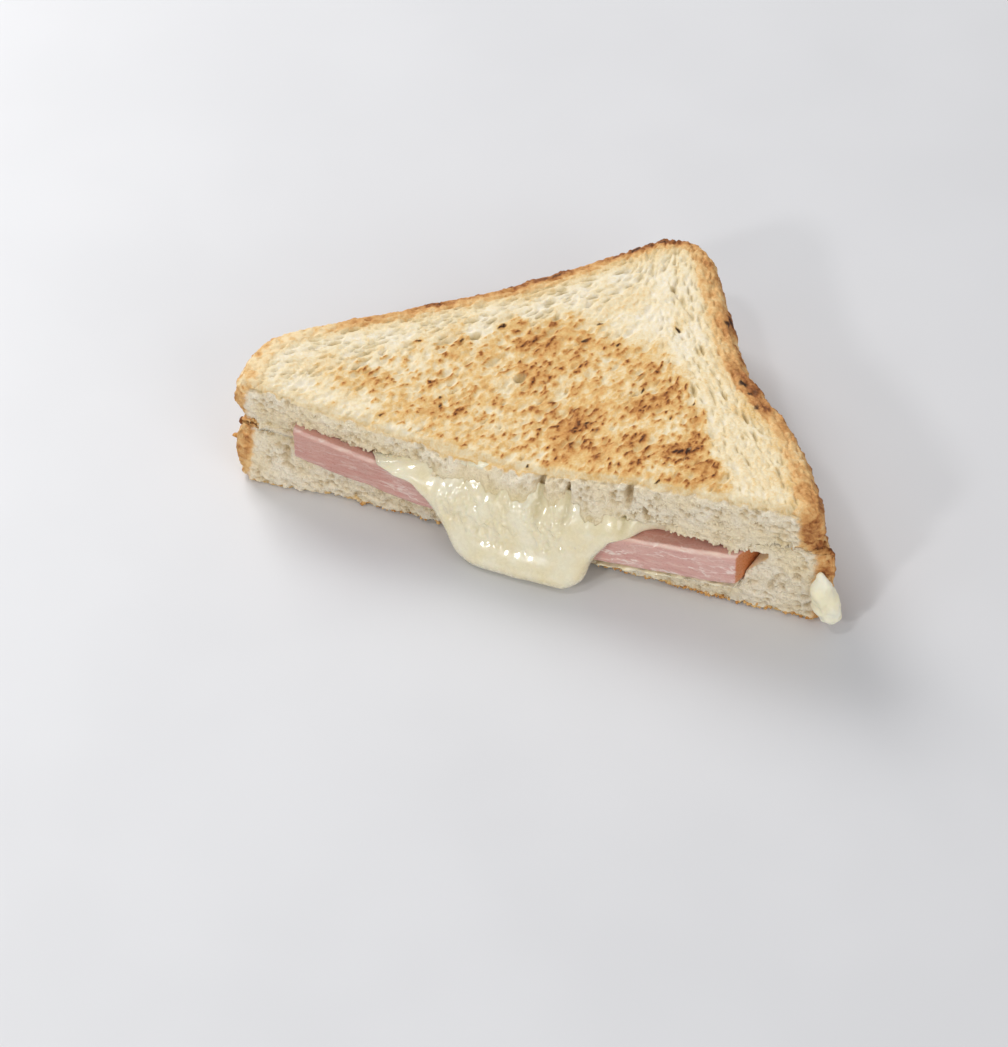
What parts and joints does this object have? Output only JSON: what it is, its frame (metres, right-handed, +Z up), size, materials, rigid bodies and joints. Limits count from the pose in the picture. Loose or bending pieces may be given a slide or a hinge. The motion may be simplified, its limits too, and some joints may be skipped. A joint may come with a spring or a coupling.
{
  "type": "ham and cheese toastie half",
  "caption": "Triangular half of a toasted ham and cheese sandwich, with ham in the cut and melted cheese running out of it as a tongue.",
  "frame": {"origin": "under the middle of the bounding box, on the surface that the half rests on", "axes": "+X along the cut edge to the right as seen facing the cut, -Y the way the cut face looks, +Y towards the crust corner, +Z up"},
  "size_m": [0.1662, 0.1056, 0.0387],
  "materials": {
    "toasted_bread_top": "dry toasted crumb",
    "toasted_bread_bottom": "dry toasted crumb",
    "cooked_ham": "moist",
    "melted_cheese": "wet and smooth",
    "soft_cheese": "soft"
  },
  "bodies": {
    "root": {"bread_top": "toasted_bread_top", "bread_bottom": "toasted_bread_bottom", "ham": "cooked_ham", "cheese_upper": "melted_cheese", "cheese_lower": "melted_cheese", "cheese_corner": "soft_cheese"}
  },
  "joints": []
}
